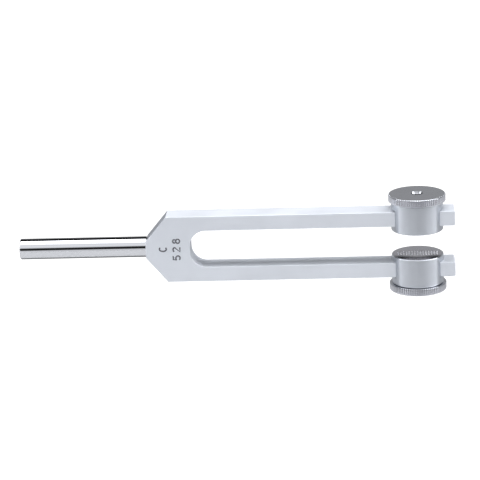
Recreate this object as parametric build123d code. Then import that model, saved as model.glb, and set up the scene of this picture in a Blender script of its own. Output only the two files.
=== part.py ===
from build123d import *
import os
from math import cos, pi, sin, sqrt

# A two-pronged tuning fork with a screwed-in stem and a sliding clamp weight on each prong.
# Millimetres. +X runs along the fork from the stem's free end to the prong tips, +Z is the
# direction in which the prongs are spaced, and the origin is the centre of the stem's free end.

# Fork: one piece of bar, with the yoke and both prongs
OVERALL_LENGTH = 150.0
FORK_DEPTH = 9.0
FORK_HEIGHT = 23.2
PRONG_THICKNESS = 5.1
NOSE_X = 43.9
NOSE_HEIGHT = 5.8
SHOULDER_X = 51.2
SLOT_ROOT_X = 59.1
SLOT_CORNER_RADIUS = 5.6
TIP_RADIUS = 0.5
EDGE_RADIUS = 0.2

# Stem: a round rod, let a little way into the yoke's nose, with a spigot in a deeper blind hole
STEM_RADIUS = 3.6
STEM_CHAMFER = 0.5
STEM_SEAT_X = 45.2
SEAT_RADIUS = 3.35
SPIGOT_RADIUS = 2.5
SPIGOT_LENGTH = 9.0
SPIGOT_HOLE_LENGTH = 10.0

# Clamp weights: drum, inner plate, knurled cap, screw and pad, all on one axis across the prong
WEIGHT_X = 137.2
DRUM_RADIUS = 8.9
DRUM_INNER_Z = 4.35
DRUM_OUTER_Z = 14.4
DRUM_EDGE_RADIUS = 0.4
WINDOW_INNER_CLEARANCE = 0.05
WINDOW_OUTER_CLEARANCE = 0.3
WINDOW_SIDE_CLEARANCE = 0.1
PLATE_RADIUS = 8.4
PLATE_EDGE_THICKNESS = 0.5
PLATE_CROWN = 0.45
PLATE_FLAT_RADIUS = 4.4
CAP_RADIUS = 9.8
CAP_INNER_Z = 14.5
CAP_OUTER_Z = 17.0
CAP_OUTER_ROUND = 0.5
CAP_INNER_CHAMFER = 0.1
KNURL_TEETH = 80
KNURL_DEPTH = 0.35
DIMPLE_RADIUS = 2.3
DIMPLE_DEPTH = 0.65
RIVET_RADIUS = 1.8
RIVET_HOLE_RADIUS = 1.4
RIVET_HOLE_DEPTH = 1.5
THREAD_HOLE_RADIUS = 2.5
SCREW_RADIUS = 2.45
SCREW_TIP_Z = 12.46
PAD_RADIUS = 2.3
PAD_FACE_Z = 11.62
PAD_THICKNESS = 0.8
PIP_RADIUS = 0.7
PIP_LENGTH = 0.5
PIP_CLEARANCE = 0.05

# Worked out from the above
HALF_HEIGHT = FORK_HEIGHT / 2
GAP_HALF = HALF_HEIGHT - PRONG_THICKNESS
CUT_OVERRUN = 2.0


def disc(radius, z_low, z_high):
    """A cylinder on the weight's axis between two heights."""
    height = z_high - z_low
    return Pos(WEIGHT_X, 0, (z_low + z_high) / 2) * Cylinder(radius, height)


def rod_along_x(radius, x_low, x_high):
    """A cylinder on the fork's axis between two places along it."""
    length = x_high - x_low
    return Pos((x_low + x_high) / 2, 0, 0) * Rot(0, 90, 0) * Cylinder(radius, length)


def rims(shape, z):
    """The circular edges that lie at one height."""
    circles = shape.edges().filter_by(GeomType.CIRCLE)
    return [edge for edge in circles if abs(edge.center().Z - z) < 1e-4]


def make_fork_body():
    upper_side = [(NOSE_X, NOSE_HEIGHT / 2), (SHOULDER_X, HALF_HEIGHT), (OVERALL_LENGTH, HALF_HEIGHT)]
    lower_side = [(x, -z) for x, z in reversed(upper_side)]
    outline = make_face(Polyline(*upper_side, *lower_side, close=True))
    slot_length = OVERALL_LENGTH + 2 * SLOT_CORNER_RADIUS - SLOT_ROOT_X
    slot = RectangleRounded(slot_length, 2 * GAP_HALF, SLOT_CORNER_RADIUS)
    outline -= Pos(SLOT_ROOT_X + slot_length / 2, 0) * slot
    body = extrude(Plane.XZ * outline, FORK_DEPTH / 2, both=True)
    tip_edges = [e for e in body.edges().filter_by(Axis.Y) if e.center().X > OVERALL_LENGTH - 1e-4]
    body = fillet(tip_edges, TIP_RADIUS)
    face_edges = [e for e in body.edges() if abs(abs(e.center().Y) - FORK_DEPTH / 2) < 1e-4]
    body = fillet(face_edges, EDGE_RADIUS)
    body -= rod_along_x(SEAT_RADIUS, NOSE_X - CUT_OVERRUN, STEM_SEAT_X)
    return body - rod_along_x(SPIGOT_RADIUS, NOSE_X, STEM_SEAT_X + SPIGOT_HOLE_LENGTH)


def make_stem():
    rod = rod_along_x(STEM_RADIUS, 0, NOSE_X)
    free_end = [e for e in rod.edges() if abs(e.center().X) < 1e-4]
    rod = chamfer(free_end, STEM_CHAMFER)
    rod += rod_along_x(SEAT_RADIUS, NOSE_X, STEM_SEAT_X)
    return rod + rod_along_x(SPIGOT_RADIUS, STEM_SEAT_X, STEM_SEAT_X + SPIGOT_LENGTH)


def make_weight_body():
    drum = disc(DRUM_RADIUS, DRUM_INNER_Z, DRUM_OUTER_Z)
    drum = fillet(rims(drum, DRUM_INNER_Z) + rims(drum, DRUM_OUTER_Z), DRUM_EDGE_RADIUS)
    window_low = GAP_HALF - WINDOW_INNER_CLEARANCE
    window_high = HALF_HEIGHT + WINDOW_OUTER_CLEARANCE
    window_depth = FORK_DEPTH + 2 * WINDOW_SIDE_CLEARANCE
    window = Box(2 * DRUM_RADIUS + CUT_OVERRUN, window_depth, window_high - window_low)
    drum -= Pos(WEIGHT_X, 0, (window_low + window_high) / 2) * window
    drum -= disc(THREAD_HOLE_RADIUS, HALF_HEIGHT, DRUM_OUTER_Z + CUT_OVERRUN)
    plate_seat_z = DRUM_INNER_Z + PLATE_EDGE_THICKNESS
    return drum - disc(PLATE_RADIUS, DRUM_INNER_Z - CUT_OVERRUN, plate_seat_z)


def make_end_plate():
    seat_z = DRUM_INNER_Z + PLATE_EDGE_THICKNESS
    crown_z = DRUM_INNER_Z - PLATE_CROWN
    run = PLATE_RADIUS - PLATE_FLAT_RADIUS
    crown_radius = (run**2 + PLATE_CROWN**2) / (2 * PLATE_CROWN)
    half_run_drop = crown_radius - sqrt(crown_radius**2 - (run / 2) ** 2)
    middle = (PLATE_FLAT_RADIUS + run / 2, crown_z + half_run_drop)
    shoulder = ThreePointArc((PLATE_FLAT_RADIUS, crown_z), middle, (PLATE_RADIUS, DRUM_INNER_Z))
    corners = [(PLATE_RADIUS, DRUM_INNER_Z), (PLATE_RADIUS, seat_z), (0, seat_z), (0, crown_z)]
    rest = Polyline(*corners, (PLATE_FLAT_RADIUS, crown_z))
    section = make_face([*shoulder.edges(), *rest.edges()])
    return Pos(WEIGHT_X, 0, 0) * revolve(Plane.XZ * section, Axis.Z)


def make_dimple():
    """The cone turned in the cap's face, down to the rim of the screw's hollow rivet."""
    dimple_z = CAP_OUTER_Z - DIMPLE_DEPTH / 2
    return Pos(WEIGHT_X, 0, dimple_z) * Cone(RIVET_RADIUS, DIMPLE_RADIUS, DIMPLE_DEPTH)


def make_clamp_cap():
    ring = []
    for tooth in range(KNURL_TEETH):
        for half_step, radius in ((0.0, CAP_RADIUS), (0.5, CAP_RADIUS - KNURL_DEPTH)):
            angle = 2 * pi * (tooth + half_step) / KNURL_TEETH
            ring.append((radius * cos(angle), radius * sin(angle)))
    knurled = extrude(make_face(Polyline(*ring, close=True)), CAP_OUTER_Z - CAP_INNER_Z)
    knurled = Pos(WEIGHT_X, 0, CAP_INNER_Z) * knurled
    blank = disc(CAP_RADIUS, CAP_INNER_Z, CAP_OUTER_Z)
    blank = fillet(rims(blank, CAP_OUTER_Z), CAP_OUTER_ROUND)
    blank = chamfer(rims(blank, CAP_INNER_Z), CAP_INNER_CHAMFER)
    return (knurled & blank) - make_dimple() - disc(RIVET_RADIUS, CAP_INNER_Z, CAP_OUTER_Z)


def make_clamp_screw():
    thread = disc(SCREW_RADIUS, SCREW_TIP_Z, CAP_INNER_Z)
    rivet = disc(RIVET_RADIUS, CAP_INNER_Z, CAP_OUTER_Z - DIMPLE_DEPTH)
    hole_bottom = CAP_OUTER_Z - DIMPLE_DEPTH - RIVET_HOLE_DEPTH
    rivet -= disc(RIVET_HOLE_RADIUS, hole_bottom, CAP_OUTER_Z)
    socket_top = PAD_FACE_Z + PAD_THICKNESS + PIP_LENGTH + PIP_CLEARANCE
    return thread + rivet - disc(PIP_RADIUS + PIP_CLEARANCE, SCREW_TIP_Z - CUT_OVERRUN, socket_top)


def make_thrust_pad():
    pad_top = PAD_FACE_Z + PAD_THICKNESS
    return disc(PAD_RADIUS, PAD_FACE_Z, pad_top) + disc(PIP_RADIUS, pad_top, pad_top + PIP_LENGTH)


WEIGHT_PIECES = {
    "weight_body": make_weight_body,
    "end_plate": make_end_plate,
    "clamp_cap": make_clamp_cap,
    "clamp_screw": make_clamp_screw,
    "thrust_pad": make_thrust_pad,
}
# Both weights are the same; the lower one is turned half round the fork's own axis.
WEIGHT_PLACES = {"upper": Rot(0, 0, 0), "lower": Rot(180, 0, 0)}

os.makedirs("parts", exist_ok=True)
export_step(make_fork_body(), "parts/fork_body.step")
export_step(make_stem(), "parts/stem.step")
for side, place in WEIGHT_PLACES.items():
    for piece_name, make_piece in WEIGHT_PIECES.items():
        export_step(place * make_piece(), f"parts/{side}_{piece_name}.step")
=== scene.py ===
from math import acos, atan2, cos, degrees, pi, radians, sin, tan

import bmesh
import bpy
from mathutils import Matrix, Vector


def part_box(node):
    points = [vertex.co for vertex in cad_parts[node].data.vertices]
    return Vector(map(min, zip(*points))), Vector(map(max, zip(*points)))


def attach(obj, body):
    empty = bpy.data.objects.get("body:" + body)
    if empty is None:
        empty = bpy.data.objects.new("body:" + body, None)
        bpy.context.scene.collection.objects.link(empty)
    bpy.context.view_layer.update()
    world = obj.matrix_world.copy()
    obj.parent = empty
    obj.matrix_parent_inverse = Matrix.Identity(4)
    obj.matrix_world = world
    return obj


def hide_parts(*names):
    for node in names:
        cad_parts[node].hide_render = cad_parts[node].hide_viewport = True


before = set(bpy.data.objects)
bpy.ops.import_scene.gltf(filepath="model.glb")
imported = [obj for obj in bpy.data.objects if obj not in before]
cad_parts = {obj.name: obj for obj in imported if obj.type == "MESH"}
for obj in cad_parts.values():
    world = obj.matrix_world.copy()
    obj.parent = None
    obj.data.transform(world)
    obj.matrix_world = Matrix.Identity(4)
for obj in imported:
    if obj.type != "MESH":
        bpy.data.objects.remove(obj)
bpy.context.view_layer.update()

# A tuning fork with two sliding clamp weights. Lengths below are in millimetres and become metres when a
# mesh is made. +X runs from the stem's free end to the prong tips and +Z is the prong spacing.
MM = 0.001


# ---------------------------------------------------------------- sizes, read from the frame
def corners(node):
    """A CAD node's lowest and highest corner in millimetres."""
    low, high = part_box(node)
    return Vector(low) / MM, Vector(high) / MM


body_low, body_high = corners("fork_body")
stem_high = corners("stem")[1]
drum_low, drum_high = corners("upper_weight_body")
plate_low, plate_high = corners("upper_end_plate")
cap_low, cap_high = corners("upper_clamp_cap")
screw_low, screw_high = corners("upper_clamp_screw")

NOSE_X = body_low.x
TIP_X = body_high.x
HALF_HEIGHT = body_high.z
HALF_DEPTH = body_high.y
WEIGHT_X = (drum_low.x + drum_high.x) / 2
DRUM_RADIUS = drum_high.y
PLATE_RADIUS = plate_high.y
CAP_RADIUS = cap_high.y
STEM_RADIUS = stem_high.z

# Sizes of features inside a node, the same as the CAD model's
PRONG_THICKNESS = 5.1
NOSE_HALF_HEIGHT = 2.9
SHOULDER_X = 51.2
SLOT_ROOT_X = 59.1
SLOT_CORNER_RADIUS = 5.6
TIP_RADIUS = 0.5
STEM_SEAT_X = 45.2
SEAT_RADIUS = 3.35
SPIGOT_HOLE_LENGTH = 10.0
SPIGOT_RADIUS = 2.5
WINDOW_SIDE_CLEARANCE = 0.1
WINDOW_INNER_CLEARANCE = 0.05
WINDOW_OUTER_CLEARANCE = 0.3
THREAD_HOLE_RADIUS = 2.5
DRUM_EDGE_RADIUS = 0.4
PLATE_CROWN = 0.45
PLATE_FLAT_RADIUS = 4.4
CAP_OUTER_ROUND = 0.5
CAP_INNER_CHAMFER = 0.1
KNURL_TEETH = 80
KNURL_DEPTH = 0.35
DIMPLE_RADIUS = 2.3
DIMPLE_DEPTH = 0.65
RIVET_RADIUS = 1.8
RIVET_HOLE_RADIUS = 1.4
RIVET_HOLE_DEPTH = 1.5
PIP_HOLE_RADIUS = 0.75
PRONG_GAP_HALF = HALF_HEIGHT - PRONG_THICKNESS

# Finer detail that the CAD model lacks or draws differently. There the bar's outer corners are sharp, its
# face edges are rounded by 0.2, the stem's end is chamfered and the pip's hole is 0.51 deep.
OUTER_CORNER_RADIUS = 0.3
FACE_EDGE_RADIUS = 0.12
STEM_END_ROUND = 0.5
THREAD_DEPTH = 0.3
THREAD_PITCH = 0.8
THREAD_RUN_IN = 0.5
THREAD_RUN_OUT = 0.3
THREAD_SEGMENTS = 72
THREAD_LEVELS_PER_PITCH = 12
PIP_HOLE_DEPTH = 0.61
RIVET_HOLE_POINT = 0.4
DRUM_SIDE_RING = 1.5
# One tooth of the knurl: (share of the tooth's turn, share of the knurl's depth)
KNURL_TOOTH = ((-0.13, 0.0), (0.13, 0.0), (0.40, 1.0), (0.60, 1.0))

# Edges between faces that meet at more than this angle, in degrees, are shaded sharp
SHARP_ANGLE = 35
CAP_SHARP_ANGLE = 25


# ---------------------------------------------------------------- mesh helpers
def arc(centre, radius, start, end, steps):
    """Points on an arc, angles in degrees, both ends included."""
    points = []
    for step in range(steps + 1):
        angle = radians(start + (end - start) * step / steps)
        points.append((centre[0] + radius * cos(angle), centre[1] + radius * sin(angle)))
    return points


def rounded_outline(corner_list, steps):
    """A closed outline through (x, z, radius) corners, each rounded by an arc."""
    outline = []
    count = len(corner_list)
    for index, (x, z, radius) in enumerate(corner_list):
        here = Vector((x, z))
        before = (Vector(corner_list[index - 1][:2]) - here).normalized()
        after = (Vector(corner_list[(index + 1) % count][:2]) - here).normalized()
        half_angle = acos(max(-1.0, min(1.0, before.dot(after)))) / 2
        reach = radius / tan(half_angle)
        centre = here + (before + after).normalized() * radius / sin(half_angle)
        first = here + before * reach - centre
        last = here + after * reach - centre
        start = atan2(first.y, first.x)
        sweep = (atan2(last.y, last.x) - start + pi) % (2 * pi) - pi
        outline += arc(centre, radius, degrees(start), degrees(start + sweep), steps)
    return outline


def inset(outline, distance):
    """The counter-clockwise outline moved inwards by a small distance."""
    moved = []
    count = len(outline)
    for index in range(count):
        here = Vector(outline[index])
        along_in = (here - Vector(outline[index - 1])).normalized()
        along_out = (Vector(outline[(index + 1) % count]) - here).normalized()
        normal_in = Vector((-along_in.y, along_in.x))
        normal_out = Vector((-along_out.y, along_out.x))
        miter = (normal_in + normal_out) / (1 + normal_in.dot(normal_out))
        moved.append(tuple(here + miter * distance))
    return moved


def new_object(name, bm, sharp_angle=SHARP_ANGLE):
    """A mesh object in metres from a bmesh in millimetres, with smooth faces and sharp edges by angle."""
    bmesh.ops.remove_doubles(bm, verts=bm.verts, dist=1e-4)
    bmesh.ops.recalc_face_normals(bm, faces=bm.faces)
    bmesh.ops.scale(bm, vec=(MM, MM, MM), verts=bm.verts)
    mesh = bpy.data.meshes.new(name)
    bm.to_mesh(mesh)
    bm.free()
    mesh.shade_smooth()
    mesh.set_sharp_from_angle(angle=radians(sharp_angle))
    piece = bpy.data.objects.new(name, mesh)
    bpy.context.scene.collection.objects.link(piece)
    return piece


def add_rings(bm, rings, closed=False):
    """Joins equal rings of points with quads; a ring of one point closes to a fan."""
    made = [[bm.verts.new(point) for point in ring] for ring in rings]
    pairs = list(zip(made, made[1:]))
    if closed:
        pairs.append((made[-1], made[0]))
    for ring, following in pairs:
        count = max(len(ring), len(following))
        for index in range(count):
            after = (index + 1) % count
            corner_set = [
                ring[index % len(ring)],
                ring[after % len(ring)],
                following[after % len(following)],
                following[index % len(following)],
            ]
            face = list(dict.fromkeys(corner_set))
            if len(face) > 2:
                bm.faces.new(face)
    return made


def circle_z(radius, z, segments=128):
    """A ring of points round the weight's axis, or the one point on it."""
    if radius == 0:
        return [(WEIGHT_X, 0, z)]
    turn = 2 * pi / segments
    return [(WEIGHT_X + radius * cos(turn * i), radius * sin(turn * i), z) for i in range(segments)]


def circle_x(radius, x, segments=96):
    """A ring of points round the fork's axis, or the one point on it."""
    if radius == 0:
        return [(x, 0, 0)]
    turn = 2 * pi / segments
    return [(x, radius * cos(turn * i), radius * sin(turn * i)) for i in range(segments)]


def lathe(bm, profile, circle):
    """Turns a profile of (radius, height) points."""
    return add_rings(bm, [circle(radius, height) for radius, height in profile])


def add_box(bm, low, high):
    """An upright box between two corners."""
    made = bmesh.ops.create_cube(bm, size=1.0)["verts"]
    size = Vector(high) - Vector(low)
    bmesh.ops.scale(bm, vec=size, verts=made)
    bmesh.ops.translate(bm, vec=(Vector(high) + Vector(low)) / 2, verts=made)


def cut(piece, cutter):
    """Takes the cutter's volume out of the piece for good."""
    modifier = piece.modifiers.new("cut", "BOOLEAN")
    modifier.operation = "DIFFERENCE"
    modifier.solver = "EXACT"
    modifier.use_self = True
    modifier.object = cutter
    shape = bpy.data.meshes.new_from_object(piece.evaluated_get(bpy.context.evaluated_depsgraph_get()))
    piece.modifiers.clear()
    piece.data = shape
    shape.name = piece.name
    shape.set_sharp_from_angle(angle=radians(SHARP_ANGLE))
    bpy.data.objects.remove(cutter)


def flatten_normals(piece):
    """Weighted normals, so that flat faces stay flat beside their rounded edges."""
    modifier = piece.modifiers.new("flat_faces", "WEIGHTED_NORMAL")
    modifier.keep_sharp = True
    modifier.weight = 100


def helix_thread(circle_point, radius, low, high):
    """Rings of an outside screw thread between two heights, cut down to its root at both ends."""
    levels = max(2, round((high - low) / (THREAD_PITCH / THREAD_LEVELS_PER_PITCH)))
    rings = []
    for level in range(levels + 1):
        height = low + (high - low) * level / levels
        run_out = min(1.0, (height - low) / THREAD_RUN_IN, (high - height) / THREAD_RUN_OUT)
        ring = []
        for index in range(THREAD_SEGMENTS):
            turn = index / THREAD_SEGMENTS
            wave = abs(((height / THREAD_PITCH - turn) % 1.0) * 2 - 1)
            crest = max(0.0, min(1.0, wave * 1.25 - 0.1))
            depth = THREAD_DEPTH * (1 - crest * max(0.0, run_out))
            ring.append(circle_point(radius - depth, 2 * pi * turn, height))
        rings.append(ring)
    return rings


# ---------------------------------------------------------------- material helpers
# Noise values are stretched from this range, in which most of them lie
NOISE_LOW = 0.3
NOISE_HIGH = 0.7
WAVE_SCALE_PER_RING = 3.14


def node_material(name, base, metallic, roughness, **sockets):
    """A Principled material and its node tree; constant values go straight on the shader."""
    material = bpy.data.materials.new(name)
    material.use_nodes = True
    shader = material.node_tree.nodes["Principled BSDF"]
    shader.inputs["Base Color"].default_value = (*base, 1.0)
    shader.inputs["Metallic"].default_value = metallic
    shader.inputs["Roughness"].default_value = roughness
    for socket, value in sockets.items():
        shader.inputs[socket.replace("_", " ")].default_value = value
    return material, material.node_tree, shader


def add_node(tree, kind, **values):
    """A node with its properties set by name."""
    node = tree.nodes.new(kind)
    for key, value in values.items():
        setattr(node, key, value)
    return node


def noise(tree, scale, detail=3.0, stretch=(1.0, 1.0, 1.0)):
    """Noise in object space; its scale is in features per metre."""
    place = add_node(tree, "ShaderNodeTexCoord")
    mapping = add_node(tree, "ShaderNodeMapping")
    mapping.inputs["Scale"].default_value = stretch
    texture = add_node(tree, "ShaderNodeTexNoise")
    texture.inputs["Scale"].default_value = scale
    texture.inputs["Detail"].default_value = detail
    tree.links.new(place.outputs["Object"], mapping.inputs["Vector"])
    tree.links.new(mapping.outputs["Vector"], texture.inputs["Vector"])
    return texture.outputs["Fac"]


def remap(tree, value, low, high):
    """Scales a noise value to a range."""
    node = add_node(tree, "ShaderNodeMapRange")
    node.inputs["From Min"].default_value = NOISE_LOW
    node.inputs["From Max"].default_value = NOISE_HIGH
    node.inputs["To Min"].default_value = low
    node.inputs["To Max"].default_value = high
    tree.links.new(value, node.inputs["Value"])
    return node.outputs["Result"]


def tint(tree, value, dark, light):
    """A colour between two, by a noise value."""
    ramp = add_node(tree, "ShaderNodeValToRGB")
    ramp.color_ramp.elements[0].position = NOISE_LOW
    ramp.color_ramp.elements[1].position = NOISE_HIGH
    ramp.color_ramp.elements[0].color = (*dark, 1.0)
    ramp.color_ramp.elements[1].color = (*light, 1.0)
    tree.links.new(value, ramp.inputs["Fac"])
    return ramp.outputs["Color"]


def bump(tree, shader, height, strength, distance_mm):
    """Small relief from a height value."""
    node = add_node(tree, "ShaderNodeBump")
    node.inputs["Strength"].default_value = strength
    node.inputs["Distance"].default_value = distance_mm * MM
    tree.links.new(height, node.inputs["Height"])
    tree.links.new(node.outputs["Normal"], shader.inputs["Normal"])


def scaled(colour, factor):
    """A colour made lighter or darker."""
    return tuple(channel * factor for channel in colour)


def satin_aluminium():
    """Fine bead-blasted aluminium bar."""
    base = (0.75, 0.775, 0.82)
    material, tree, shader = node_material("satin_aluminium", base, 0.6, 0.5)
    grain = noise(tree, 5200, 2.0)
    cloud = noise(tree, 90, 3.0)
    tree.links.new(tint(tree, cloud, scaled(base, 0.97), scaled(base, 1.02)), shader.inputs["Base Color"])
    tree.links.new(remap(tree, cloud, 0.48, 0.52), shader.inputs["Roughness"])
    bump(tree, shader, grain, 0.10, 0.02)
    return material


def milled_bevel_painted_shade():
    """The yoke's two bevels, cut smoother than the bar's blasted faces; their darker base colour is painted
    shade.
    """
    base = (0.44, 0.465, 0.51)
    material, tree, shader = node_material("milled_bevel_painted_shade", base, 1.0, 0.32)
    cloud = noise(tree, 160, 3.0)
    tree.links.new(tint(tree, cloud, scaled(base, 0.95), scaled(base, 1.04)), shader.inputs["Base Color"])
    tree.links.new(remap(tree, cloud, 0.3, 0.35), shader.inputs["Roughness"])
    bump(tree, shader, noise(tree, 4200, 2.0), 0.08, 0.02)
    return material


def stamped_groove_painted_shade():
    """Painted shade in the bottom of a stamped character: a dark colour that stands in for the shade inside
    the groove.
    """
    base = (0.22, 0.22, 0.24)
    material, tree, shader = node_material("stamped_groove_painted_shade", base, 1.0, 0.55)
    grain = noise(tree, 3000, 2.0)
    tree.links.new(tint(tree, grain, scaled(base, 0.85), scaled(base, 1.15)), shader.inputs["Base Color"])
    bump(tree, shader, grain, 0.15, 0.02)
    return material


def polished_chrome():
    """Mirror chrome with the faintest handling haze."""
    base = (0.585, 0.59, 0.61)
    material, tree, shader = node_material("polished_chrome", base, 1.0, 0.05)
    haze = noise(tree, 120, 4.0, (0.35, 1.0, 1.0))
    tree.links.new(tint(tree, haze, scaled(base, 0.985), scaled(base, 1.015)), shader.inputs["Base Color"])
    tree.links.new(remap(tree, haze, 0.04, 0.075), shader.inputs["Roughness"])
    return material


def turned_metal(name, base, roughness, anisotropy, groove_per_mm, strength):
    """Plated steel turned round the weight's axis: fine grooves run round it."""
    material, tree, shader = node_material(name, base, 1.0, roughness, Anisotropic=anisotropy,
                                           Anisotropic_Rotation=0.25)
    tangent = add_node(tree, "ShaderNodeTangent", direction_type="RADIAL", axis="Z")
    tree.links.new(tangent.outputs["Tangent"], shader.inputs["Tangent"])
    grooves = noise(tree, groove_per_mm / MM, 2.0, (0.004, 0.004, 1.0))
    cloud = noise(tree, 140, 3.0)
    tree.links.new(tint(tree, cloud, scaled(base, 0.96), scaled(base, 1.03)), shader.inputs["Base Color"])
    tree.links.new(remap(tree, cloud, roughness - 0.02, roughness + 0.03), shader.inputs["Roughness"])
    bump(tree, shader, grooves, strength, 0.01)
    return material


def faced_metal(name, base, roughness, ring_per_mm, strength):
    """Metal faced on a lathe: faint rings round the weight's axis."""
    material, tree, shader = node_material(name, base, 1.0, roughness)
    place = add_node(tree, "ShaderNodeTexCoord")
    centre = add_node(tree, "ShaderNodeMapping")
    centre.inputs["Location"].default_value = (-WEIGHT_X * MM, 0, 0)
    wave = add_node(tree, "ShaderNodeTexWave", wave_type="RINGS", rings_direction="Z")
    wave.inputs["Scale"].default_value = ring_per_mm / MM / WAVE_SCALE_PER_RING
    wave.inputs["Distortion"].default_value = 1.5
    wave.inputs["Detail"].default_value = 3.0
    tree.links.new(place.outputs["Object"], centre.inputs["Vector"])
    tree.links.new(centre.outputs["Vector"], wave.inputs["Vector"])
    cloud = noise(tree, 160, 3.0)
    tree.links.new(tint(tree, cloud, scaled(base, 0.95), scaled(base, 1.04)), shader.inputs["Base Color"])
    tree.links.new(remap(tree, cloud, roughness - 0.02, roughness + 0.03), shader.inputs["Roughness"])
    bump(tree, shader, wave.outputs["Fac"], strength, 0.01)
    return material


# ---------------------------------------------------------------- fork body
MARK_HEIGHT = 2.4
MARK_WIDTH = 1.75
MARK_SPACING = 2.98
MARK_STROKE = 0.27
MARK_DEPTH = 0.2
NOTE_LINE_X = 49.85
NOTE_CENTRE_Z = 0.25
PITCH_LINE_X = 54.5


def glyph_strokes():
    """Plain round-ended strokes in a unit box: u to the right, v up, both from -0.5 to 0.5."""
    note = [(0.42 * cos(radians(a)) * 1.1, 0.5 * sin(radians(a))) for a in range(50, 311, 20)]
    five = [(0.42, 0.5), (-0.34, 0.5), (-0.40, 0.08)]
    five += [(0.45 * cos(radians(a)) - 0.03, 0.31 * sin(radians(a)) - 0.18) for a in range(125, -146, -30)]
    two = [(0.42 * cos(radians(a)), 0.24 * sin(radians(a)) + 0.25) for a in range(165, -31, -28)]
    two += [(-0.45, -0.5), (0.45, -0.5)]
    upper = [(0.34 * cos(radians(a)), 0.23 * sin(radians(a)) + 0.26) for a in range(0, 361, 30)]
    lower = [(0.43 * cos(radians(a)), 0.27 * sin(radians(a)) - 0.23) for a in range(0, 361, 30)]
    return {"C": [note], "5": [five], "2": [two], "8": [upper, lower]}


def mark_cutter():
    """Round-nosed strokes of the note letter and the pitch in hertz, read along +Z with their tops at -X."""
    glyphs = glyph_strokes()
    placed = [("C", NOTE_LINE_X, NOTE_CENTRE_Z)]
    placed += [(digit, PITCH_LINE_X, (place - 1) * MARK_SPACING) for place, digit in enumerate("528")]
    curve = bpy.data.curves.new("mark_cutter", "CURVE")
    curve.dimensions = "3D"
    curve.bevel_depth = MARK_STROKE * MM
    curve.bevel_resolution = 3
    curve.use_fill_caps = True
    face_y = -HALF_DEPTH - MARK_STROKE + MARK_DEPTH
    for glyph, x, z in placed:
        for stroke in glyphs[glyph]:
            spline = curve.splines.new("POLY")
            spline.points.add(len(stroke) - 1)
            for point, (u, v) in zip(spline.points, stroke):
                spot = Vector((x - v * MARK_HEIGHT, face_y, z + u * MARK_WIDTH)) * MM
                point.co = (*spot, 1.0)
            if stroke[0] == stroke[-1]:
                spline.use_cyclic_u = True
    shape = bpy.data.objects.new("mark_cutter_curve", curve)
    bpy.context.scene.collection.objects.link(shape)
    mesh = bpy.data.meshes.new_from_object(shape.evaluated_get(bpy.context.evaluated_depsgraph_get()))
    cutter = bpy.data.objects.new("mark_cutter", mesh)
    bpy.context.scene.collection.objects.link(cutter)
    bpy.data.objects.remove(shape)
    return cutter


def fork_outline():
    """The fork's outline seen from the front, counter-clockwise."""
    lower = [
        (NOSE_X, -NOSE_HALF_HEIGHT, OUTER_CORNER_RADIUS),
        (SHOULDER_X, -HALF_HEIGHT, OUTER_CORNER_RADIUS),
        (TIP_X, -HALF_HEIGHT, TIP_RADIUS),
        (TIP_X, -PRONG_GAP_HALF, TIP_RADIUS),
        (SLOT_ROOT_X, -PRONG_GAP_HALF, SLOT_CORNER_RADIUS),
    ]
    upper = [(x, -z, radius) for x, z, radius in reversed(lower)]
    return rounded_outline(lower + upper, 10)


def make_fork_body():
    """The yoke and both prongs with the stem's hole, the stamped marks and the smoother bevels."""
    outline = fork_outline()
    steps = 5
    edge = []
    for step in range(steps + 1):
        angle = pi / 2 * step / steps
        ring = inset(outline, FACE_EDGE_RADIUS * (1 - cos(angle)))
        edge.append((ring, HALF_DEPTH - FACE_EDGE_RADIUS * (1 - sin(angle))))
    bm = bmesh.new()
    rings = [[(x, -depth, z) for x, z in ring] for ring, depth in reversed(edge)]
    rings += [[(x, depth, z) for x, z in ring] for ring, depth in edge]
    made = add_rings(bm, rings)
    bm.faces.new(made[0])
    bm.faces.new(made[-1])
    body = new_object("fork_body_bar", bm)
    hole = bmesh.new()
    hole_end = STEM_SEAT_X + SPIGOT_HOLE_LENGTH
    steps_in = [(0, NOSE_X - 1), (SEAT_RADIUS, NOSE_X - 1), (SEAT_RADIUS, STEM_SEAT_X)]
    steps_in += [(SPIGOT_RADIUS, STEM_SEAT_X), (SPIGOT_RADIUS, hole_end), (0, hole_end)]
    lathe(hole, steps_in, circle_x)
    cut(body, new_object("stem_hole_cutter", hole))
    cut(body, mark_cutter())
    body.data.materials.append(satin_aluminium())
    body.data.materials.append(stamped_groove_painted_shade())
    body.data.materials.append(milled_bevel_painted_shade())
    for face in body.data.polygons:
        # Faces inside the stamped grooves get the dark painted groove shade
        if is_stamped(face):
            face.material_index = 1
        # The bevels get the smoother material whose darker base colour is painted shade
        if is_bevel(face):
            face.material_index = 2
    flatten_normals(body)
    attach(body, "fork")
    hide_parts("fork_body")


def is_stamped(face):
    """Whether a face lies below the bar's front, within the block of stamped characters."""
    x, z = face.center.x / MM, face.center.z / MM
    along = NOTE_LINE_X - MARK_HEIGHT < x < PITCH_LINE_X + MARK_HEIGHT
    depth_in = face.center.y + HALF_DEPTH * MM
    sunk = 0.005 * MM < depth_in < 1.2 * MARK_DEPTH * MM
    return sunk and along and abs(z) < MARK_SPACING + MARK_WIDTH


def is_bevel(face):
    """Whether a face is one of the two slopes between the yoke's nose and its shoulders."""
    return face.normal.x < -0.5 and abs(face.normal.z) > 0.4 and face.center.x < SHOULDER_X * MM


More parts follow.
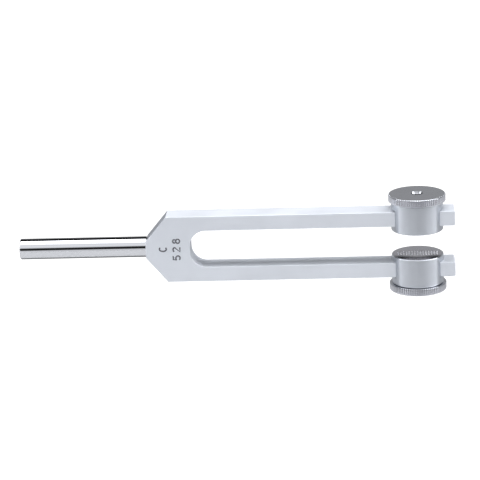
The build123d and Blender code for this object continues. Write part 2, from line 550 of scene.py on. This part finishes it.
# ---------------------------------------------------------------- stem
def make_stem():
    """The polished rod with its seat and its threaded spigot."""
    shoulder = STEM_RADIUS - STEM_END_ROUND
    profile = [(0, 0), (shoulder, 0)]
    for angle in range(15, 91, 15):
        across = STEM_END_ROUND * sin(radians(angle))
        profile.append((shoulder + across, STEM_END_ROUND - STEM_END_ROUND * cos(radians(angle))))
    profile += [(STEM_RADIUS, x) for x in (10, 20, 30, 40)]
    profile += [(STEM_RADIUS, NOSE_X), (SEAT_RADIUS, NOSE_X)]
    profile += [(SEAT_RADIUS, STEM_SEAT_X), (SPIGOT_RADIUS, STEM_SEAT_X)]
    bm = bmesh.new()
    rings = [circle_x(radius, x) for radius, x in profile]

    def on_axis(radius, angle, x):
        return (x, radius * cos(angle), radius * sin(angle))

    add_rings(bm, rings)
    thread = helix_thread(on_axis, SPIGOT_RADIUS, STEM_SEAT_X, stem_high.x)
    made = add_rings(bm, thread)
    bm.faces.new(made[-1])
    stem = new_object("stem_rod", bm)
    stem.data.materials.append(polished_chrome())
    flatten_normals(stem)
    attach(stem, "fork")
    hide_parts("stem")


# ---------------------------------------------------------------- clamp weights
def round_edge(radius, height, edge, from_angle, to_angle, steps=5):
    """Profile points round an edge; the centre of the round is at (radius, height)."""
    return arc((radius, height), edge, from_angle, to_angle, steps)


def drum_mesh():
    """The slotted drum of the upper weight."""
    edge = DRUM_EDGE_RADIUS
    recess_z = plate_high.z
    profile = [(0, recess_z), (PLATE_RADIUS, recess_z), (PLATE_RADIUS, drum_low.z)]
    profile += round_edge(DRUM_RADIUS - edge, drum_low.z + edge, edge, -90, 0)
    profile += [(DRUM_RADIUS, drum_low.z + DRUM_SIDE_RING), (DRUM_RADIUS, drum_high.z - DRUM_SIDE_RING)]
    profile += round_edge(DRUM_RADIUS - edge, drum_high.z - edge, edge, 0, 90)
    profile += [(0, drum_high.z)]
    bm = bmesh.new()
    lathe(bm, profile, circle_z)
    drum = new_object("drum", bm)
    window = bmesh.new()
    half_window = HALF_DEPTH + WINDOW_SIDE_CLEARANCE
    low = (WEIGHT_X - 2 * DRUM_RADIUS, -half_window, PRONG_GAP_HALF - WINDOW_INNER_CLEARANCE)
    high = (WEIGHT_X + 2 * DRUM_RADIUS, half_window, HALF_HEIGHT + WINDOW_OUTER_CLEARANCE)
    add_box(window, low, high)
    cut(drum, new_object("window_cutter", window))
    bore = bmesh.new()
    bore_top = drum_high.z + 1
    bore_profile = [(0, HALF_HEIGHT), (THREAD_HOLE_RADIUS, HALF_HEIGHT)]
    bore_profile += [(THREAD_HOLE_RADIUS, bore_top), (0, bore_top)]
    lathe(bore, bore_profile, lambda radius, z: circle_z(radius, z, 64))
    cut(drum, new_object("bore_cutter", bore))
    return drum


def cap_mesh():
    """The knurled cap of the upper weight."""
    top, bottom = cap_high.z, cap_low.z

    def ring_at(largest_radius, z):
        """The knurl's outline at one height, with nothing further out than a radius."""
        ring = []
        for tooth in range(KNURL_TEETH):
            for part, depth in KNURL_TOOTH:
                angle = 2 * pi * (tooth + part) / KNURL_TEETH
                radius = min(CAP_RADIUS - depth * KNURL_DEPTH, largest_radius)
                ring.append((WEIGHT_X + radius * cos(angle), radius * sin(angle), z))
        return ring

    profile = [(RIVET_RADIUS, bottom), (CAP_RADIUS - KNURL_DEPTH, bottom)]
    profile += [(CAP_RADIUS - CAP_INNER_CHAMFER, bottom), (CAP_RADIUS, bottom + CAP_INNER_CHAMFER)]
    profile += round_edge(CAP_RADIUS - CAP_OUTER_ROUND, top - CAP_OUTER_ROUND, CAP_OUTER_ROUND, 0, 90, 9)
    profile += [(DIMPLE_RADIUS, top), (RIVET_RADIUS, top - DIMPLE_DEPTH)]
    rings = [ring_at(radius, z) for radius, z in profile]
    bm = bmesh.new()
    add_rings(bm, rings, closed=True)
    return new_object("cap", bm, CAP_SHARP_ANGLE)


def screw_mesh():
    """The threaded stud with its riveted head in the cap's dimple."""
    low = screw_low.z
    pip_hole_end = low + PIP_HOLE_DEPTH
    dimple_z = cap_high.z - DIMPLE_DEPTH
    rivet_hole_end = dimple_z - RIVET_HOLE_DEPTH

    def on_axis(ring_radius, angle, z):
        return (WEIGHT_X + ring_radius * cos(angle), ring_radius * sin(angle), z)

    def plain_rings(*profile):
        return [circle_z(radius, z, THREAD_SEGMENTS) for radius, z in profile]

    rings = plain_rings((0, pip_hole_end), (PIP_HOLE_RADIUS, pip_hole_end), (PIP_HOLE_RADIUS, low))
    rings += helix_thread(on_axis, screw_high.y, low, cap_low.z)
    rings += plain_rings((RIVET_RADIUS, cap_low.z), (RIVET_RADIUS, screw_high.z))
    rings += plain_rings((RIVET_HOLE_RADIUS, dimple_z), (RIVET_HOLE_RADIUS, rivet_hole_end))
    rings += plain_rings((0, rivet_hole_end - RIVET_HOLE_POINT))
    bm = bmesh.new()
    add_rings(bm, rings)
    return new_object("screw", bm)


# The plate's engraved lines get shorter and lie nearer the front towards both ends of their row
LINE_COUNT = 15
LINE_SPACING = 0.95
LINE_HALF_LENGTH = 2.5
LINE_CENTRE_Y = 1.5
LINE_HALF_WIDTH = 0.24
LINE_DEPTH = 0.08
LINE_SHORTENING = 0.016
LINE_ARCH = 0.012
LINE_CUT_OVERRUN = 0.5
PLATE_CROWN_STEPS = 12


def plate_rise(radius):
    """How far the plate's edge has curved back at a radius."""
    run = PLATE_RADIUS - PLATE_FLAT_RADIUS
    crown_radius = (run**2 + PLATE_CROWN**2) / (2 * PLATE_CROWN)
    outside = max(0.0, radius - PLATE_FLAT_RADIUS)
    return crown_radius - (crown_radius**2 - outside**2) ** 0.5


def plate_mesh():
    """The plate in the drum's inner face, with a plain row of short engraved lines."""
    low, high = plate_low.z, plate_high.z
    bm = bmesh.new()
    profile = [(0, low)]
    for step in range(PLATE_CROWN_STEPS + 1):
        radius = PLATE_FLAT_RADIUS + (PLATE_RADIUS - PLATE_FLAT_RADIUS) * step / PLATE_CROWN_STEPS
        profile.append((radius, low + plate_rise(radius)))
    profile += [(PLATE_RADIUS, high), (0, high)]
    lathe(bm, profile, circle_z)
    plate = new_object("plate", bm)
    lines = bmesh.new()
    for index in range(LINE_COUNT):
        x = (index - (LINE_COUNT - 1) / 2) * LINE_SPACING
        half_length = LINE_HALF_LENGTH - LINE_SHORTENING * x * x
        arch = LINE_CENTRE_Y - LINE_ARCH * x * x
        floor_z = low + plate_rise((x * x + half_length**2) ** 0.5) + LINE_DEPTH
        corner_low = (WEIGHT_X + x - LINE_HALF_WIDTH, arch - half_length, low - LINE_CUT_OVERRUN)
        add_box(lines, corner_low, (WEIGHT_X + x + LINE_HALF_WIDTH, arch + half_length, floor_z))
    cut(plate, new_object("line_cutter", lines))
    return plate


def turned_over(mesh):
    """A copy of a mesh turned half round the fork's axis, for the lower weight."""
    copy = mesh.copy()
    for vertex in copy.vertices:
        vertex.co.y, vertex.co.z = -vertex.co.y, -vertex.co.z
    return copy


def from_axis(spot):
    """A point's distance from the weight's axis."""
    return Vector((spot.x - WEIGHT_X, spot.y)).length


def is_engraved(face):
    """Whether a face of the plate is the floor of an engraved line."""
    spot = face.center / MM
    surface_z = plate_low.z + plate_rise(from_axis(spot))
    return face.normal.z < -0.9 and surface_z + 0.03 < spot.z < plate_high.z - 0.1


def is_knurl(face):
    """Whether a face of the cap is on the knurled side."""
    return from_axis(face.center / MM) > CAP_RADIUS - 1.5 * KNURL_DEPTH and abs(face.normal.z) < 0.2


def is_dimple_cone(face):
    """Whether a face of the cap is on the dimple's slope."""
    return RIVET_RADIUS < from_axis(face.center / MM) < DIMPLE_RADIUS and 0.2 < face.normal.z < 0.95


def make_weights():
    """Both clamp weights; the lower one is the upper one turned over."""
    looks = {
        "drum": turned_metal("turned_drum", (0.52, 0.54, 0.575), 0.34, 0.85, 14, 0.10),
        "plate": faced_metal("smooth_plate", (0.66, 0.65, 0.69), 0.13, 6, 0.04),
        "cap": faced_metal("knurled_cap", (0.60, 0.61, 0.64), 0.16, 5, 0.04),
        "screw": faced_metal("screw_steel", (0.42, 0.42, 0.43), 0.28, 8, 0.05),
    }
    line_look, tree, shader = node_material("engraved_line", (0.93, 0.93, 0.95), 0.3, 0.45)
    tree.links.new(tint(tree, noise(tree, 2500, 2.0), (0.88, 0.88, 0.90), (0.97, 0.97, 0.98)),
                   shader.inputs["Base Color"])
    shapes = {"drum": drum_mesh(), "plate": plate_mesh(), "cap": cap_mesh(), "screw": screw_mesh()}
    nodes = {"drum": "weight_body", "plate": "end_plate", "cap": "clamp_cap", "screw": "clamp_screw"}
    bodies = {"drum": "weight", "plate": "weight", "cap": "clamp", "screw": "clamp"}
    for kind, shape in shapes.items():
        shape.data.materials.clear()
        shape.data.materials.append(looks[kind])
    shapes["plate"].data.materials.append(line_look)
    for face in shapes["plate"].data.polygons:
        if is_engraved(face):
            face.material_index = 1
    cap = shapes["cap"].data
    # The knurl's darker base colour, below the rest of the cap's, is painted shade on the toothed band
    cap.materials.append(faced_metal("knurl", (0.52, 0.525, 0.555), 0.2, 5, 0.04))
    # The dimple's slope gets a darker base colour, painted shade that dims its reflection in the recess
    cap.materials.append(faced_metal("dimple_cone", (0.40, 0.405, 0.425), 0.16, 5, 0.04))
    for face in cap.polygons:
        if is_knurl(face):
            face.material_index = 1
        elif is_dimple_cone(face):
            face.material_index = 2
    for side in ("upper", "lower"):
        for kind, shape in shapes.items():
            mesh = shape.data.copy() if side == "upper" else turned_over(shape.data)
            piece = bpy.data.objects.new(f"{side}_{kind}", mesh)
            bpy.context.scene.collection.objects.link(piece)
            flatten_normals(piece)
            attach(piece, f"{side}_{bodies[kind]}")
            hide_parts(f"{side}_{nodes[kind]}")
    for shape in shapes.values():
        bpy.data.objects.remove(shape)


def dress_pads():
    """The brass thrust pads keep their CAD shape and get a turned brass look."""
    brass = faced_metal("turned_brass", (0.78, 0.60, 0.30), 0.3, 8, 0.05)
    for side in ("upper", "lower"):
        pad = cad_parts[f"{side}_thrust_pad"]
        pad.data.materials.clear()
        pad.data.materials.append(brass)


# ---------------------------------------------------------------- studio
# Lengths here are in metres and angles in degrees
FLOOR_DROP = 0.25
FLOOR_HALF_WIDTH = 2.5
FLOOR_FRONT_Y = -0.62
FLOOR_BACK_Y = 0.03
CAMERA_AZIMUTH = 3.5
CAMERA_ELEVATION = 16.75
CAMERA_ROLL = 2.22
CAMERA_DISTANCE = 0.79
CAMERA_LENS = 171.94
CAMERA_TARGET = (0.07623, 0.0, 0.00163)


def make_floor():
    """A pale floor that lights the fork from below. It ends before the front view could show it."""
    bm = bmesh.new()
    for side, y in ((-1, FLOOR_FRONT_Y), (1, FLOOR_FRONT_Y), (1, FLOOR_BACK_Y), (-1, FLOOR_BACK_Y)):
        bm.verts.new((side * FLOOR_HALF_WIDTH, y, -FLOOR_DROP))
    bm.faces.new(bm.verts)
    mesh = bpy.data.meshes.new("floor")
    bm.to_mesh(mesh)
    bm.free()
    floor = bpy.data.objects.new("floor", mesh)
    bpy.context.scene.collection.objects.link(floor)
    mesh.materials.append(node_material("pale_floor", (0.5, 0.5, 0.5), 0.0, 0.9)[0])


# Light by angle round the fork's axis, in degrees: 0 is level in front, 90 overhead, 180 level behind
STUDIO_LIGHT = [
    (-180, 0.9), (-175, 0.65), (-105, 0.65), (-95, 1.2), (-6, 1.2), (-2, 0.03), (20, 0.03), (25, 1.3),
    (45, 1.6), (52.5, 1.2), (55.5, 1.2), (59, 1.5), (68, 1.6), (72, 2.2), (75, 6.5), (106, 6.5),
    (110, 0.8), (114, 0.03), (150, 0.03), (157, 0.95), (180, 0.9),
]
# Share of the light kept round the horizon, by bearing in degrees: 0 is in front, 90 to the right
SIDE_SHARE = [
    (-180, 0.4), (-165, 0.4), (-150, 0.95), (-56, 0.95), (-46, 0.91), (-38, 0.80), (-8, 0.80), (0, 0.66),
    (34, 0.64), (42, 0.82), (50, 0.9), (150, 0.9), (165, 0.4), (180, 0.4),
]
LIGHT_SCALE = 6.5
LIGHT_TINT = (0.985, 1.0, 1.03)
# The camera itself sees an even backdrop, a share of LIGHT_SCALE, that comes out white
BACKDROP = (0.2, 0.2, 0.2, 1.0)
# Components of a direction between which a change fades in or out
SIDE_FADE_Z = (0.92, 0.75)
SOFTBOX_END_X = (-0.45, -0.15)
SOFTBOX_END_Z = (0.45, 0.65)
# Share of the light left at the softbox's end over the stem
SOFTBOX_END_SHARE = 0.55


def fade(tree, value, start, end, lowest=0.0):
    """A smooth rise from the lowest value to 1 as another value goes from start to end."""
    node = add_node(tree, "ShaderNodeMapRange", interpolation_type="SMOOTHSTEP")
    node.inputs["From Min"].default_value = start
    node.inputs["From Max"].default_value = end
    node.inputs["To Min"].default_value = lowest
    tree.links.new(value, node.inputs["Value"])
    return node.outputs["Result"]


def multiplied(tree, amount, colour, factor):
    """A colour multiplied by a factor, as far as the amount says."""
    node = add_node(tree, "ShaderNodeMix", data_type="RGBA", blend_type="MULTIPLY")
    tree.links.new(amount, node.inputs["Factor"])
    tree.links.new(colour, node.inputs["A"])
    tree.links.new(factor, node.inputs["B"])
    return node.outputs["Result"]


def make_world():
    """A soft studio all round: a long softbox overhead, pale walls in front and dimmer ones behind."""
    world = bpy.data.worlds.new("studio")
    bpy.context.scene.world = world
    world.use_nodes = True
    tree = world.node_tree
    background = tree.nodes["Background"]
    place = add_node(tree, "ShaderNodeTexCoord")
    split = add_node(tree, "ShaderNodeSeparateXYZ")
    tree.links.new(place.outputs["Generated"], split.inputs["Vector"])
    forward = add_node(tree, "ShaderNodeMath", operation="MULTIPLY")
    forward.inputs[1].default_value = -1.0
    tree.links.new(split.outputs["Y"], forward.inputs[0])
    right, up, front = split.outputs["X"], split.outputs["Z"], forward.outputs[0]
    studio = [(angle, scaled(LIGHT_TINT, light / LIGHT_SCALE)) for angle, light in STUDIO_LIGHT]
    bearing = [(angle, (share, share, share)) for angle, share in SIDE_SHARE]
    height_light = angle_ramp(tree, up, front, studio)
    side_light = angle_ramp(tree, right, front, bearing)
    light = multiplied(tree, fade(tree, up, *SIDE_FADE_Z), height_light, side_light)
    softbox_end = fade(tree, right, *SOFTBOX_END_X, SOFTBOX_END_SHARE)
    light = multiplied(tree, fade(tree, up, *SOFTBOX_END_Z), light, softbox_end)
    path = add_node(tree, "ShaderNodeLightPath")
    seen = add_node(tree, "ShaderNodeMix", data_type="RGBA")
    tree.links.new(path.outputs["Is Camera Ray"], seen.inputs["Factor"])
    tree.links.new(light, seen.inputs["A"])
    seen.inputs["B"].default_value = BACKDROP
    tree.links.new(seen.outputs["Result"], background.inputs["Color"])
    background.inputs["Strength"].default_value = LIGHT_SCALE


def angle_ramp(tree, opposite, adjacent, stops):
    """A colour by the angle of two direction components, from (degrees, colour) stops."""
    angle = add_node(tree, "ShaderNodeMath", operation="ARCTAN2")
    tree.links.new(opposite, angle.inputs[0])
    tree.links.new(adjacent, angle.inputs[1])
    part = add_node(tree, "ShaderNodeMapRange")
    part.inputs["From Min"].default_value = -pi
    part.inputs["From Max"].default_value = pi
    tree.links.new(angle.outputs[0], part.inputs["Value"])
    ramp = add_node(tree, "ShaderNodeValToRGB")
    elements = ramp.color_ramp.elements
    elements.remove(elements[1])
    for index, (degree, colour) in enumerate(stops):
        position = (degree + 180) / 360
        element = elements[0] if index == 0 else elements.new(position)
        element.position = position
        element.color = (*colour, 1.0)
    tree.links.new(part.outputs["Result"], ramp.inputs["Fac"])
    return ramp.outputs["Color"]


def make_camera():
    """A long-lens camera a little to the right of the front and above, rolled slightly."""
    data = bpy.data.cameras.new("camera")
    data.lens = CAMERA_LENS
    camera = bpy.data.objects.new("camera", data)
    bpy.context.scene.collection.objects.link(camera)
    azimuth, elevation = radians(CAMERA_AZIMUTH), radians(CAMERA_ELEVATION)
    back = Vector((sin(azimuth) * cos(elevation), -cos(azimuth) * cos(elevation), sin(elevation)))
    camera.location = Vector(CAMERA_TARGET) + back * CAMERA_DISTANCE
    level = Vector((cos(azimuth), sin(azimuth), 0))
    upright = back.cross(level)
    roll = radians(CAMERA_ROLL)
    right = level * cos(roll) - upright * sin(roll)
    camera.rotation_mode = "QUATERNION"
    camera.rotation_quaternion = Matrix((right, back.cross(right), back)).transposed().to_quaternion()
    data.clip_start = 0.01
    data.clip_end = 50
    bpy.context.scene.camera = camera


bpy.context.scene.view_settings.view_transform = "Standard"
make_camera()
make_floor()
make_world()
make_fork_body()
make_stem()
make_weights()
dress_pads()
